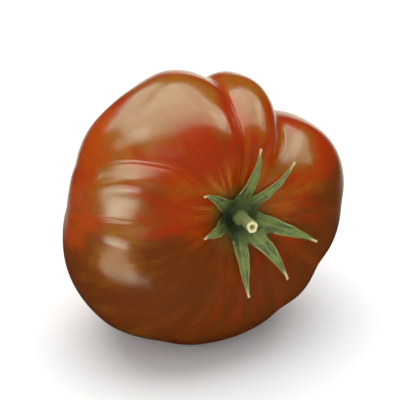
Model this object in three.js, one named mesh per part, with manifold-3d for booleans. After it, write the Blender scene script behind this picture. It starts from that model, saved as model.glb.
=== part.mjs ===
// A ribbed heirloom tomato, picked with its calyx and a short stub of stem.
// It lies on its side on a small flat spot, with the stem end raised a little from level.
//
// Units are millimetres and the finished part has +Z up. The fruit is drawn first in its own
// frame, with the stem along +Z, and the whole group is then leaned over and set on the ground.

import * as THREE from "three";
import { mergeVertices } from "three/addons/utils/BufferGeometryUtils.js";
import Module from "manifold-3d";

const wasm = await Module();
wasm.setup();

// Driving sizes of the fruit, before its ribs and grooves
const RADIUS = 35.8; // across the equator, from the middle
const STEM_HALF = 28.5; // equator to the top of the shoulders
const BLOSSOM_HALF = 28.5; // equator to the blossom end
const SHOULDER_FULLNESS = 2.4; // 2 is an ellipse, more is squarer
const BLOSSOM_FULLNESS = 2.15;
const HOLLOW_DEPTH = 9; // the hollow that the stem sits in
const HOLLOW_RADIUS = 12.5;
const DIMPLE_DEPTH = 2.6; // the dimple at the blossom end
const DIMPLE_RADIUS = 7;
const STEM_ASIDE = { x: 0.9, y: 3.2 }; // how far the stem sits from the middle of the outline

// How the fruit lies
const LEAN_DEGREES = 71; // from upright, towards -Y
const FLAT_SPOT_DEPTH = 1.9; // how much of the low ribs is pressed flat
const FLAT_SPOT_BLEND = 0.5; // the height over which the flat runs out into the round

// Mesh density of the fruit
const ROWS = 36;
const COLUMN_DEGREES = 3.9;
const FEWEST_COLUMNS = 4; // in the narrowest rib

// Each groove runs from the hollow over the shoulder and the equator towards the blossom end.
// azimuths: degrees round the stem in the hollow and at the equator.
// shoulder, equator: depths there. width: half width in degrees. soft: 0.1 is a crease, 0.6 a valley.
// left: the share of the depth that is left at the blossom end.
const GROOVES = [
  { azimuths: [-122, -126], shoulder: 1.4, equator: 1.6, width: 13, soft: 0.5, left: 0.5 },
  { azimuths: [-66, -66], shoulder: 1.8, equator: 2.4, width: 13, soft: 0.5, left: 0.5 },
  { azimuths: [-34, -34], shoulder: 2.2, equator: 2.8, width: 13, soft: 0.4, left: 0.5 },
  { azimuths: [-2, -4], shoulder: 1.4, equator: 1.8, width: 13, soft: 0.5, left: 0.5 },
  { azimuths: [49, 50.5], shoulder: 5.2, equator: 7.4, width: 12, soft: 0.16, left: 0.6 },
  { azimuths: [80.5, 79], shoulder: 4.2, equator: 4.8, width: 10, soft: 0.14, left: 0.55 },
  { azimuths: [117, 149], shoulder: 1.6, equator: 0.7, width: 7, soft: 0.12, left: 0.3 },
  { azimuths: [144, 160], shoulder: 0.9, equator: 0.6, width: 8, soft: 0.5, left: 0.3 },
  { azimuths: [163.5, 167], shoulder: 1, equator: 0.7, width: 7, soft: 0.15, left: 0.3 },
  { azimuths: [206, 210], shoulder: 0.7, equator: 0.8, width: 12, soft: 0.6, left: 0.3 },
];

// Ribs that swell more than the rest: out at the equator, and up on the shoulder.
const SWELLINGS = [
  { azimuth: 122, width: 30, out: 2.7, up: 2 },
  { azimuth: 127, width: 18, out: 1.6, up: 0 },
  { azimuth: 93, width: 12, out: 3.4, up: 2 },
  { azimuth: 67, width: 12, out: 5.8, up: 2 },
  { azimuth: 16, width: 24, out: 4.4, up: -0.5 },
  { azimuth: 190, width: 26, out: 4, up: 0.5 },
  { azimuth: 222, width: 22, out: 3.8, up: 0.5 },
  { azimuth: -90, width: 40, out: -2.4, up: 0 },
  { azimuth: -40, width: 30, out: 1, up: -1 },
];

// The fold of skin beside the crease on the large rib: which groove it follows, and how far aside of it.
const FOLD = { groove: 6, aside: 6.6, height: 1.3, width: 3.4, rise: [0.16, 0.22], close: [0.38, 0.5] };

// Where along the fruit, from 0 at the stem to 1 at the blossom end, its forms begin and end
const GROOVE_SWEEP_SPAN = [0.02, 0.56];
const COLUMNS_COUNTED = 0.28; // where the ribs are measured for the number of their mesh columns
const FLANK_DEPTH_SPAN = [0.12, 0.5];
const LOW_SPAN = [0.5, 1];
const GROOVES_RISE = [0, 0.24];
const GROOVES_CLOSE = [0.9, 1];
const STEM_ASIDE_SPAN = [0, 0.3];
const SHOULDER_CREST = 0.2;
const SHOULDER_SPREAD = 0.1;
const BRIDGED_SPAN = [0, 0.45]; // where the calyx can lie
const EQUATOR_ROUNDING = 1.5; // how soon the swollen ribs fade away from the equator
const GROOVE_PINCH = 0.35; // how little the grooves narrow towards the stem

// The calyx: seven pointed sepals round the small receptacle that carries the stem.
// azimuth: degrees round the stem. reach: of the tip from the stem's axis. width: of the blade.
// lift: of the tip off the skin. roll: degrees that the blade turns on its own length.
// bend: degrees that it curves round the stem towards its tip.
const SEPALS = [
  { azimuth: 73, reach: 20, width: 4.6, lift: 1.8, roll: 8, bend: 5 },
  { azimuth: 38, reach: 19.6, width: 3.6, lift: 2.2, roll: -30, bend: 5 },
  { azimuth: -25, reach: 21, width: 5.8, lift: 1.4, roll: 12, bend: -3 },
  { azimuth: -60, reach: 20, width: 6, lift: 1.6, roll: -6, bend: -4 },
  { azimuth: -102, reach: 20.5, width: 5.6, lift: 1.4, roll: 8, bend: 4 },
  { azimuth: 191, reach: 14, width: 5.6, lift: 3.4, roll: -10, bend: -7 },
  { azimuth: 135, reach: 16.5, width: 4.8, lift: 3.2, roll: 10, bend: 6 },
];
const SEPAL_THICKNESS = 0.95;
const SEPAL_ROOT = 1.6; // from the stem's axis to where a blade begins
const SEPAL_GAP = 0.9; // from the skin to a blade's underside at its root
const SEPAL_FOLD = 0.28; // how far a blade's edges rise, for each millimetre from its midrib
const SEPAL_TIP = 0.35; // half width of the blunt tip
const SEPAL_NECK = 0.95; // share of the width that a blade has at its root
const SEPAL_BELLY = 0.2; // how much it fills out from there
const SEPAL_TAPER = 1.2; // how late it narrows to its tip
const SEPAL_ROWS = 11;
const SEPAL_COLUMNS = 4;
const RECEPTACLE_RADIUS = 3.6;
const RECEPTACLE_TOP_RADIUS = 2.4;
const RECEPTACLE_THICKNESS = 1.1;
const RECEPTACLE_SIDES = 24;
const STEM_ROOM_RADIUS = 2.7; // kept clear of blades round the foot of the stem
const TOUCHING_GAP = 0.3; // left between pieces that touch

// The stub of stem
const STEM_RADIUS = 1.45;
const STEM_LENGTH = 7.8;
const STEM_FOOT = 0.7; // how much the foot flares
const STEM_FOOT_HEIGHT = 1.6;
const STEM_KNUCKLE = 0.1; // how much the cut end swells
const STEM_KNUCKLE_SPAN = [0.5, 0.9];
const STEM_DROOP = 1.3; // how far the cut end leans down
const PITH_RADIUS = 0.6;
const PITH_DEPTH = 0.5;
const STEM_SIDES = 20;
const STEM_ROWS = 9;

const degrees = THREE.MathUtils.degToRad;

// The angle's nearest turn, from -180 to 180 degrees.
function wrapped(angle) {
  return THREE.MathUtils.euclideanModulo(angle + 180, 360) - 180;
}

function ease(value, [from, to]) {
  return THREE.MathUtils.smoothstep(value, from, to);
}

// The groove's azimuth at the share `along` of the way from the stem to the blossom end.
function grooveAzimuth({ azimuths }, along) {
  const [hollow, equator] = azimuths;
  return THREE.MathUtils.lerp(hollow, equator, ease(along, GROOVE_SWEEP_SPAN));
}

// The plain section of the fruit: a point and its outward direction, in the plane through the stem.
function section(along) {
  const across = Math.sin(Math.PI * along);
  const upward = Math.cos(Math.PI * along);
  const fullness = upward > 0 ? SHOULDER_FULLNESS : BLOSSOM_FULLNESS;
  const half = upward > 0 ? STEM_HALF : BLOSSOM_HALF;
  const reach = (across ** fullness + Math.abs(upward) ** fullness) ** (-1 / fullness);
  const outward = new THREE.Vector2(
    (across * reach) ** (fullness - 1) / RADIUS,
    (Math.sign(upward) * (Math.abs(upward) * reach) ** (fullness - 1)) / half,
  );
  const point = new THREE.Vector2(RADIUS * across * reach, half * upward * reach);
  return { point, outward: outward.normalize() };
}

// How far the swollen ribs stand out of the plain section.
function swelling(azimuth, along) {
  const round = Math.sin(Math.PI * along) ** EQUATOR_ROUNDING;
  const crest = Math.exp(-(((along - SHOULDER_CREST) / SHOULDER_SPREAD) ** 2));
  let sum = 0;
  for (const rib of SWELLINGS) {
    const turn = wrapped(azimuth - rib.azimuth) / rib.width;
    sum += Math.exp(-0.5 * turn * turn) * (rib.out * round + rib.up * crest);
  }
  return sum * ease(along, GROOVES_RISE);
}

// How far the grooves cut into it.
function grooving(azimuth, along, radius) {
  const flank = ease(along, FLANK_DEPTH_SPAN);
  const low = ease(along, LOW_SPAN);
  const pinch = Math.max(radius / RADIUS, 0.02) ** GROOVE_PINCH;
  let sum = 0;
  for (const groove of GROOVES) {
    const depth = THREE.MathUtils.lerp(groove.shoulder, groove.equator, flank);
    const kept = THREE.MathUtils.lerp(1, groove.left, low);
    const turn = (wrapped(azimuth - grooveAzimuth(groove, along)) / groove.width) * pinch;
    sum += depth * kept * Math.exp(groove.soft - Math.hypot(turn, groove.soft));
  }
  return sum * ease(along, GROOVES_RISE) * (1 - ease(along, GROOVES_CLOSE));
}

// How far the fold stands out.
function folding(azimuth, along, radius) {
  const millimetres = degrees(wrapped(azimuth - grooveAzimuth(GROOVES[FOLD.groove], along))) * Math.max(radius, 1);
  const off = (millimetres - FOLD.aside) / FOLD.width;
  return FOLD.height * Math.exp(-off * off) * ease(along, FOLD.rise) * (1 - ease(along, FOLD.close));
}

// A point of the skin in the fruit's own frame. With grooved false, it bridges the grooves.
function skinPoint(azimuth, along, grooved = true) {
  const { point, outward } = section(along);
  const plainRadius = point.x;
  let offset = swelling(azimuth, along);
  if (grooved) offset += folding(azimuth, along, plainRadius) - grooving(azimuth, along, plainRadius);
  point.addScaledVector(outward, offset);
  if (along < 0.5) point.y -= HOLLOW_DEPTH * Math.exp(-((plainRadius / HOLLOW_RADIUS) ** 2));
  else point.y += DIMPLE_DEPTH * Math.exp(-((plainRadius / DIMPLE_RADIUS) ** 2));
  const aside = ease(along, STEM_ASIDE_SPAN);
  const turn = degrees(azimuth);
  return new THREE.Vector3(
    point.x * Math.cos(turn) - STEM_ASIDE.x * aside,
    point.x * Math.sin(turn) - STEM_ASIDE.y * aside,
    point.y,
  );
}

// The mesh columns, bunched towards the grooves that they follow: [groove, next groove, share between].
function ribColumns() {
  const columns = [];
  GROOVES.forEach((groove, index) => {
    const next = GROOVES[(index + 1) % GROOVES.length];
    const from = grooveAzimuth(groove, COLUMNS_COUNTED);
    const span = THREE.MathUtils.euclideanModulo(grooveAzimuth(next, COLUMNS_COUNTED) - from, 360);
    const count = Math.max(FEWEST_COLUMNS, Math.round(span / COLUMN_DEGREES));
    for (let step = 0; step < count; step++) {
      const even = step / count;
      const bunched = (1 - Math.cos(Math.PI * even)) / 2;
      columns.push([groove, next, (even + bunched) / 2]);
    }
  });
  return columns;
}

// Up in the finished part, written in the fruit's own frame.
const plumb = new THREE.Vector3(0, Math.sin(degrees(LEAN_DEGREES)), Math.cos(degrees(LEAN_DEGREES)));

// Presses the lowest ribs flat, with a short round run-out. `floor` is the height of the flat spot.
function pressFlat(point, floor) {
  const height = point.dot(plumb) - floor;
  if (height >= FLAT_SPOT_BLEND) return;
  const pressed = Math.max(height + FLAT_SPOT_BLEND, 0) ** 2 / (4 * FLAT_SPOT_BLEND);
  point.addScaledVector(plumb, pressed - height);
}

function fruitGeometry() {
  const columns = ribColumns();
  const geometry = new THREE.SphereGeometry(1, columns.length, ROWS);
  const { position, uv } = geometry.attributes;
  const points = [];
  for (let index = 0; index < position.count; index++) {
    const along = Math.round((1 - uv.getY(index)) * ROWS) / ROWS;
    const column = Math.floor(uv.getX(index) * columns.length + 1e-3);
    const [groove, next, share] = columns[THREE.MathUtils.euclideanModulo(column, columns.length)];
    const from = grooveAzimuth(groove, along);
    const span = THREE.MathUtils.euclideanModulo(grooveAzimuth(next, along) - from, 360);
    points.push(skinPoint(from + span * share, along));
  }
  const floor = Math.min(...points.map((point) => point.dot(plumb))) + FLAT_SPOT_DEPTH;
  points.forEach((point, index) => {
    pressFlat(point, floor);
    position.setXYZ(index, point.x, point.y, point.z);
  });
  return closed(geometry);
}

// The geometry with its shared vertices merged, by position alone.
function closed(geometry) {
  geometry.deleteAttribute("normal");
  geometry.deleteAttribute("uv");
  return mergeVertices(geometry, 1e-3);
}

function solid(geometry) {
  return new wasm.Manifold(
    new wasm.Mesh({
      numProp: 3,
      vertProperties: new Float32Array(geometry.attributes.position.array),
      triVerts: new Uint32Array(geometry.index.array),
    }),
  );
}

function geometryOf(manifold) {
  const mesh = manifold.getMesh();
  const geometry = new THREE.BufferGeometry();
  geometry.setAttribute("position", new THREE.BufferAttribute(mesh.vertProperties, 3));
  geometry.setIndex(new THREE.BufferAttribute(mesh.triVerts, 1));
  geometry.computeVertexNormals();
  return geometry;
}

// A closed plate between two sheets, both split into triangles the same way.
// pointAt(row, column, side) gives a vertex, with side 1 on the upper sheet and 0 on the lower.
function plate(rows, columns, pointAt) {
  const vertices = [];
  const faces = [];
  for (let row = 0; row <= rows; row++)
    for (let column = 0; column <= columns; column++)
      for (const side of [0, 1]) vertices.push(...pointAt(row, column, side).toArray());
  const indexOf = ([row, column, side]) => (row * (columns + 1) + column) * 2 + side;
  const quad = (...corners) => {
    const [a, b, c, d] = corners.map(indexOf);
    faces.push(a, b, c, a, c, d);
  };
  // A strip of the rim, which joins the two sheets between one corner and the next.
  const rim = (from, to) => quad([...from, 0], [...to, 0], [...to, 1], [...from, 1]);
  for (let row = 0; row < rows; row++) {
    for (let column = 0; column < columns; column++) {
      const corners = [[row, column], [row + 1, column], [row + 1, column + 1], [row, column + 1]];
      quad(...corners.map((corner) => [...corner, 1]));
      const [a, b, c, d] = corners.map((corner) => indexOf([...corner, 0]));
      faces.push(a, c, b, a, d, c);
    }
    rim([row, 0], [row + 1, 0]);
    rim([row + 1, columns], [row, columns]);
  }
  for (let column = 0; column < columns; column++) {
    rim([0, column + 1], [0, column]);
    rim([rows, column], [rows, column + 1]);
  }
  const geometry = new THREE.BufferGeometry();
  geometry.setAttribute("position", new THREE.Float32BufferAttribute(vertices, 3));
  geometry.setIndex(faces);
  return geometry;
}

// The skin's height at a radius from the stem's axis, with the grooves bridged. It is found by halving.
function bridgedHeight(azimuth, radius) {
  let [near, far] = BRIDGED_SPAN;
  while (far - near > 1e-6) {
    const middle = (near + far) / 2;
    const { x, y } = skinPoint(azimuth, middle, false);
    if (Math.hypot(x, y) < radius) near = middle;
    else far = middle;
  }
  return skinPoint(azimuth, near, false).z;
}

// The blade's half width along its length: full near the root, then a long taper to the tip.
function sepalHalfWidth(width, share) {
  const taper = (1 - share ** SEPAL_TAPER) * (SEPAL_NECK + SEPAL_BELLY * share);
  return Math.max((width / 2) * taper, SEPAL_TIP);
}

function sepalGeometry(sepal) {
  return plate(SEPAL_ROWS, SEPAL_COLUMNS, (row, column, side) => {
    const share = row / SEPAL_ROWS;
    const radius = THREE.MathUtils.lerp(SEPAL_ROOT, sepal.reach, share);
    const halfWidth = sepalHalfWidth(sepal.width, share);
    const across = ((column / SEPAL_COLUMNS) * 2 - 1) * halfWidth;
    const azimuth = sepal.azimuth + sepal.bend * share * share;
    const direction = new THREE.Vector3(Math.cos(degrees(azimuth)), Math.sin(degrees(azimuth)), 0);
    const sideways = new THREE.Vector3(-direction.y, direction.x, 0);
    const roll = degrees(sepal.roll) * share;
    const lift = SEPAL_GAP + Math.abs(Math.sin(roll)) * halfWidth + sepal.lift * share * share;
    const height = bridgedHeight(azimuth, radius) + lift + Math.abs(across) * SEPAL_FOLD;
    return direction
      .multiplyScalar(radius)
      .addScaledVector(sideways, across * Math.cos(roll))
      .add(new THREE.Vector3(0, 0, height + across * Math.sin(roll) + side * SEPAL_THICKNESS));
  });
}

// A solid turned from a profile of [radius, height] pairs, with the stem's axis along +Z.
function turned(profile, sides) {
  const points = profile.map(([radius, height]) => new THREE.Vector2(radius, height));
  const geometry = new THREE.LatheGeometry(points, sides);
  geometry.rotateX(Math.PI / 2);
  return closed(geometry);
}

// The height of the highest skin on a circle round the stem.
function highestSkin(radius) {
  let highest = -Infinity;
  for (let azimuth = 0; azimuth < 360; azimuth += 10)
    highest = Math.max(highest, bridgedHeight(azimuth, radius));
  return highest;
}

const receptacleFoot = highestSkin(RECEPTACLE_RADIUS) + TOUCHING_GAP;
const receptacleTop = receptacleFoot + RECEPTACLE_THICKNESS;
const stemFoot = receptacleTop + TOUCHING_GAP;

// The sepals are fused into the receptacle, whose flat top carries the stem.
function calyxGeometry() {
  const receptacle = turned(
    [
      [0, receptacleFoot],
      [RECEPTACLE_RADIUS, receptacleFoot],
      [RECEPTACLE_RADIUS, (receptacleFoot + receptacleTop) / 2],
      [RECEPTACLE_TOP_RADIUS, receptacleTop],
      [0, receptacleTop],
    ],
    RECEPTACLE_SIDES,
  );
  const stemRoom = turned(
    [
      [0, receptacleTop],
      [STEM_ROOM_RADIUS, receptacleTop],
      [STEM_ROOM_RADIUS, receptacleTop + STEM_LENGTH],
      [0, receptacleTop + STEM_LENGTH],
    ],
    RECEPTACLE_SIDES,
  );
  let calyx = solid(receptacle);
  for (const sepal of SEPALS) calyx = calyx.add(solid(sepalGeometry(sepal)));
  return geometryOf(calyx.subtract(solid(stemRoom)));
}

// The stub: a foot that flares, a slim neck, a swollen knuckle and a cut end with a soft pith.
function stemGeometry() {
  const profile = [[0, stemFoot]];
  for (let row = 0; row <= STEM_ROWS; row++) {
    const share = row / STEM_ROWS;
    const height = share * STEM_LENGTH;
    const flare = STEM_FOOT * Math.exp(-((height / STEM_FOOT_HEIGHT) ** 2));
    const knuckle = STEM_KNUCKLE * ease(share, STEM_KNUCKLE_SPAN);
    profile.push([STEM_RADIUS + flare + knuckle, stemFoot + height]);
  }
  profile.push([PITH_RADIUS, stemFoot + STEM_LENGTH]);
  profile.push([0, stemFoot + STEM_LENGTH - PITH_DEPTH]);
  const geometry = turned(profile, STEM_SIDES);
  const { position } = geometry.attributes;
  for (let index = 0; index < position.count; index++) {
    const share = (position.getZ(index) - stemFoot) / STEM_LENGTH;
    position.setY(index, position.getY(index) - STEM_DROOP * share * share);
  }
  return geometry;
}

function piece(name, geometry, color, roughness) {
  const material = new THREE.MeshStandardMaterial({ color, roughness, metalness: 0 });
  const mesh = new THREE.Mesh(geometry, material);
  mesh.name = name;
  return mesh;
}

const fruit = piece("fruit", fruitGeometry(), 0xa8401c, 0.3);
const calyx = piece("calyx", calyxGeometry(), 0x5c7f3e, 0.7);
const stem = piece("stem", stemGeometry(), 0x8f9f58, 0.7);

const tomato = new THREE.Group();
tomato.rotation.x = degrees(LEAN_DEGREES);
tomato.add(fruit, calyx, stem);

// The origin is under the middle of the whole part, on the ground.
const part = new THREE.Group();
part.add(tomato);
part.updateMatrixWorld(true);
const bounds = new THREE.Box3().setFromObject(part, true);
const middle = bounds.getCenter(new THREE.Vector3());
tomato.position.set(-middle.x, -middle.y, -bounds.min.z);

export default part;
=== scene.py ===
"""A ribbed heirloom tomato with its calyx and a short stub of stem, lying on its side.

The skin, the calyx and the stub are drawn finely here, from the same formulas and named values as
the solids that they stand for. Lengths are in millimetres inside the formulas and in metres in the
scene. The fruit is drawn with its stem along +Z, then leaned over and set where the solids are.
A place on the skin is given by its azimuth round the stem, in degrees, and by how far it lies along
the fruit, from 0 at the stem to 1 at the blossom end. A span is where something begins and ends.
"""

import math

import bmesh
import bpy
import numpy as np
from bpy.props import FloatProperty, FloatVectorProperty, PointerProperty
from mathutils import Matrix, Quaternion, Vector


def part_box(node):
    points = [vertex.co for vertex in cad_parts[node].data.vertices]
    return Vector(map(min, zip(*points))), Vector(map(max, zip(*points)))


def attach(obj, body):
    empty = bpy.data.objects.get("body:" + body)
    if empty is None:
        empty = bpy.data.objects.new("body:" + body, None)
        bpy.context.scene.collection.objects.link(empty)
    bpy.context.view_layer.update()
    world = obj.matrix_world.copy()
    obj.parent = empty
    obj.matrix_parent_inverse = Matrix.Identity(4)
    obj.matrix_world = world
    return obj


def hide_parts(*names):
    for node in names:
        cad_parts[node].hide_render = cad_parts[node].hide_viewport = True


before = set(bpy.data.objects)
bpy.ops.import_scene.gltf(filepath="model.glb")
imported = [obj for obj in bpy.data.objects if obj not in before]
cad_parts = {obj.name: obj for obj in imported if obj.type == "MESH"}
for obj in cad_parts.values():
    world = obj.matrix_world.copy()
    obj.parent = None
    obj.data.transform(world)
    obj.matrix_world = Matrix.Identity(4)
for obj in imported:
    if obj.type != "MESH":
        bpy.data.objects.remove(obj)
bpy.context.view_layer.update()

bl_info = {
    "name": "Ribbed heirloom tomato",
    "version": (1, 0, 0),
    "blender": (4, 5, 0),
    "location": "3D View > Sidebar > Tomato",
    "description": "Draws the skin, calyx and stem stub of a ribbed heirloom tomato",
    "category": "Object",
}

MILLIMETRES = 1000.0
SEED = 20

# The fruit's form, as in the solids
SHOULDER_FULLNESS = 2.4
BLOSSOM_FULLNESS = 2.15
STEM_ASIDE = (0.9, 3.2)
STEM_ASIDE_SPAN = (0.0, 0.3)
FLAT_SPOT_BLEND = 0.5
EQUATOR = 0.5

CAD_ROWS = 36
CAD_COLUMN_DEGREES = 3.9
CAD_FEWEST_COLUMNS = 4
FINE_ROWS = 228
FINE_COLUMN_DEGREES = 0.9
FINE_FEWEST_COLUMNS = 16

# azimuths in the hollow and at the equator; depth on the shoulder and at the equator; half width in
# degrees; softness; share of the depth left at the blossom end
GROOVES = [
    ((-122, -126), 1.4, 1.6, 13, 0.5, 0.5),
    ((-66, -66), 1.8, 2.4, 13, 0.5, 0.5),
    ((-34, -34), 2.2, 2.8, 13, 0.4, 0.5),
    ((-2, -4), 1.4, 1.8, 13, 0.5, 0.5),
    ((49, 50.5), 5.2, 7.4, 12, 0.16, 0.6),
    ((80.5, 79), 4.2, 4.8, 10, 0.14, 0.55),
    ((117, 149), 1.6, 0.7, 7, 0.12, 0.3),
    ((144, 160), 0.9, 0.6, 8, 0.5, 0.3),
    ((163.5, 167), 1.0, 0.7, 7, 0.15, 0.3),
    ((206, 210), 0.7, 0.8, 12, 0.6, 0.3),
]
GROOVE_SWEEP_SPAN = (0.02, 0.56)
GROOVES_RISE = (0.0, 0.24)
GROOVES_CLOSE = (0.9, 1.0)
GROOVE_PINCH = 0.35
LEAST_PINCH = 0.02
FLANK_DEPTH_SPAN = (0.12, 0.5)
LOW_SPAN = (0.5, 1.0)
COLUMNS_COUNTED = 0.28
# A crease's share of its groove's width, the depth at which it counts in full, and what is added to
# that depth for the groove's softness
CREASE_WIDTH = 0.22
CREASE_DEPTH = 3.0
SOFT_CREASE_DEPTH = 6.0

# azimuth, width, swelling at the equator, swelling on the shoulder
SWELLINGS = [
    (122, 30, 2.7, 2.0),
    (127, 18, 1.6, 0.0),
    (93, 12, 3.4, 2.0),
    (67, 12, 5.8, 2.0),
    (16, 24, 4.4, -0.5),
    (190, 26, 4.0, 0.5),
    (222, 22, 3.8, 0.5),
    (-90, 40, -2.4, 0.0),
    (-40, 30, 1.0, -1.0),
]
SHOULDER_CREST = 0.2
SHOULDER_SPREAD = 0.1
EQUATOR_ROUNDING = 1.5

# Lips of skin beside a groove: the groove's number, how far to the side of it, height, half width, and
# where along the fruit the lip begins and ends; a negative height is a furrow. The solid has the fold.
FOLD = (6, 6.6, 1.3, 3.4, 0.16, 0.5)
LIPS = [
    (6, 0.7, 0.15, 0.22, 0.15, 0.46),
    (6, 1.4, -0.14, 0.3, 0.17, 0.44),
    (6, 9.8, 0.9, 4.2, 0.18, 0.5),
    (8, -0.6, 0.22, 0.3, 0.14, 0.5),
    (8, 4.0, 0.35, 2.6, 0.14, 0.46),
    (5, 1.5, 0.15, 0.6, 0.08, 0.4),
    (5, 4.2, 0.4, 1.7, 0.09, 0.36),
    (4, -1.9, 0.35, 0.8, 0.08, 0.3),
]
# azimuths in the hollow and at the equator; depth; half width in millimetres; where it begins and ends
FINE_CREASES = [
    ((44.5, 47), 0.45, 0.8, 0.07, 0.4),
    ((66, 66), 0.16, 0.6, 0.05, 0.2),
    ((58, 60), 0.12, 0.5, 0.05, 0.19),
    ((103, 108), 0.14, 0.9, 0.06, 0.24),
    ((115, 121), 0.12, 0.8, 0.05, 0.2),
    ((28, 26), 0.16, 0.8, 0.06, 0.24),
    ((188, 184), 0.2, 0.9, 0.08, 0.3),
    ((233, 230), 0.16, 0.9, 0.06, 0.25),
    ((-85, -86), 0.18, 0.8, 0.06, 0.26),
    ((-50, -50), 0.18, 0.8, 0.06, 0.26),
    ((-18, -18), 0.16, 0.8, 0.06, 0.26),
]
LINE_RISE = 0.06
LIP_CLOSE = 0.12
FINE_CREASE_CLOSE = 0.1
FINE_CREASE_SOFTNESS = 0.3
PLEAT_COUNTS = (7, 12, 19)
PLEAT_HEIGHT = 0.045
PLEAT_MIDDLE = 0.13
PLEAT_SPREAD = 0.06
PLEAT_WANDER = 0.6
PLEAT_BENDS = 40.0
RIPPLE_WAVES = 14
RIPPLE_LENGTHS = (11.0, 26.0)
SCAR_RADIUS = 2.4
SCAR_MOUND = 0.21
SCAR_RING = 0.35
SCAR_RING_RADIUS = 2.16
SCAR_RING_WIDTH = 0.5

# The skin without grooves, measured from the stem's axis, on which the sepals lie
BRIDGE_SPAN = 0.45
BRIDGE_SAMPLES = 900
BRIDGE_REACH = 30.0
BRIDGE_STEP = 0.1

# azimuth, reach, width, lift of the tip, roll, bend, in clockwise order
SEPALS = [
    (73, 20.0, 4.6, 1.8, 8, 5),
    (38, 19.6, 3.6, 2.2, -30, 5),
    (-25, 21.0, 5.8, 1.4, 12, -3),
    (-60, 20.0, 6.0, 1.6, -6, -4),
    (-102, 20.5, 5.6, 1.4, 8, 4),
    (-169, 14.0, 5.6, 3.4, -10, -7),
    (135, 16.5, 4.8, 3.2, 10, 6),
]
SEPAL_GAP = 0.9
SEPAL_NECK = 0.95
SEPAL_BELLY = 0.2
SEPAL_TAPER = 1.2
SEPAL_TIP = 0.22
SEPAL_ROWS = 70
SEPAL_COLUMNS = 16
SEPAL_ROW_SPACING = 1.1
SEPAL_FREE_RUN = 3.5
SEPAL_THIN_SPAN = (0.0, 0.5)
SEPAL_THIN_EDGE = 0.62
SEPAL_THIN_TIP = 0.25
TIP_BULB = 0.07
TIP_BULB_PLACE = 0.98
TIP_BULB_WIDTH = 0.02
TIP_CURL_SPAN = (0.82, 1.0)
EDGE_WAVE = 0.04
EDGE_BENDS = (21.0, 18.0)
RUFFLE_BENDS = 26.0
RUFFLE_SLANT = 1.3
MIDRIB_DEPTH = 0.16
MIDRIB_WIDTH = 0.28
MIDRIB_RISE = (0.12, 0.3)
MIDRIB_CLOSE = (0.8, 0.98)
MIDRIB_FLAT = 0.25
MIDRIB_COLOUR_WIDTH = 0.3
MIDRIB_COLOUR_RISE = (0.1, 0.25)
MARGIN_COLOUR_SPAN = (0.0, 0.4)
BLADES_PART = 0.82
WEB_RADIUS = 4.9
WEB_RUNOUT = 1.5
WELD_DISTANCE = 2e-5
# Painted shade round the hub: the blades darken towards the stem, most on the side at this azimuth, away
# from the light
HUB_SHADE_AZIMUTH = -160.0
HUB_SHADE_SPAN = (3.0, 9.0)
HUB_SHADE_LEVEL = 0.72
HUB_SHADE_SWING = 0.28
HUB_INNER = 1.2
HUB_FLAT_RADIUS = 2.3
HUB_RUNOUT = 2.2
HUB_DIP = 0.5
HUB_DIP_RADIUS = 3.4
HUB_DIP_WIDTH = 1.1
RECEPTACLE_RADIUS = 3.6
RECEPTACLE_THICKNESS = 1.1
TOUCHING_GAP = 0.3

# The stub: its foot is sunk by a share of its length, and it swells and rounds off near the cut
STEM_SUNK = 0.1
STEM_FOOT_HEIGHT = 1.6
STEM_KNUCKLE = 0.12
STEM_KNUCKLE_SPAN = (0.5, 0.9)
STEM_SIDES = 72
STEM_ROWS = 44
STEM_RIDGES = 5
STEM_TWIST = 0.8
STEM_LOBES = 3
STEM_LOBE_HEIGHT = 0.05
STEM_LOBE_TWIST = 9.0
STEM_BULGE_HEIGHT = 0.04
STEM_BULGE_BENDS = 11.0
CUT_ROUNDING = 0.14
CUT_ROUNDING_SPAN = (0.975, 1.0)
CUT_COLOUR_SPAN = (0.965, 0.99)
# The cut end: a ring of flesh, a groove round the pith and the dent in it, each as a share of the
# rim's radius and a height in shares of the pith's depth; the pith's colour fades over PITH_EDGE, in
# shares of its radius
CUT_RINGS = [
    (0.9, 0.04),
    (0.74, 0.06),
    (0.6, -0.1),
    (0.48, -0.4),
    (0.36, -0.68),
    (0.22, -0.88),
    (0.1, -1.0),
]
CUT_TILT = 0.06
CUT_WAVE = 0.024
CUT_WAVES = 4
CUT_MIDDLE_DEPTH = 0.02
PITH_EDGE = (0.9, 1.5)

# Patches of colour on the skin: azimuth, along, width in degrees, width along, strength
# Brown skin and painted shade: darker on the lower side that faces away from the light and in some hollows,
# partly the skin's own dusky brown
BROWN_AND_SHADE_PATCHES = [
    (-75, 0.42, 62, 0.36, 1.2),
    (-150, 0.2, 34, 0.14, 0.9),
    (-158, 0.44, 28, 0.24, 1.0),
    (178, 0.28, 8, 0.1, 0.5),
    (-28, 0.46, 34, 0.3, 0.9),
    (4, 0.34, 18, 0.2, 0.7),
    (120, 0.7, 40, 0.16, 0.3),
    (60, 0.75, 60, 0.16, 0.3),
    (102, 0.21, 9, 0.06, 0.4),
    (94, 0.36, 8, 0.12, 0.3),
    (138, 0.24, 9, 0.05, 0.3),
    (150, 0.24, 8, 0.06, 0.3),
]
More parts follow.
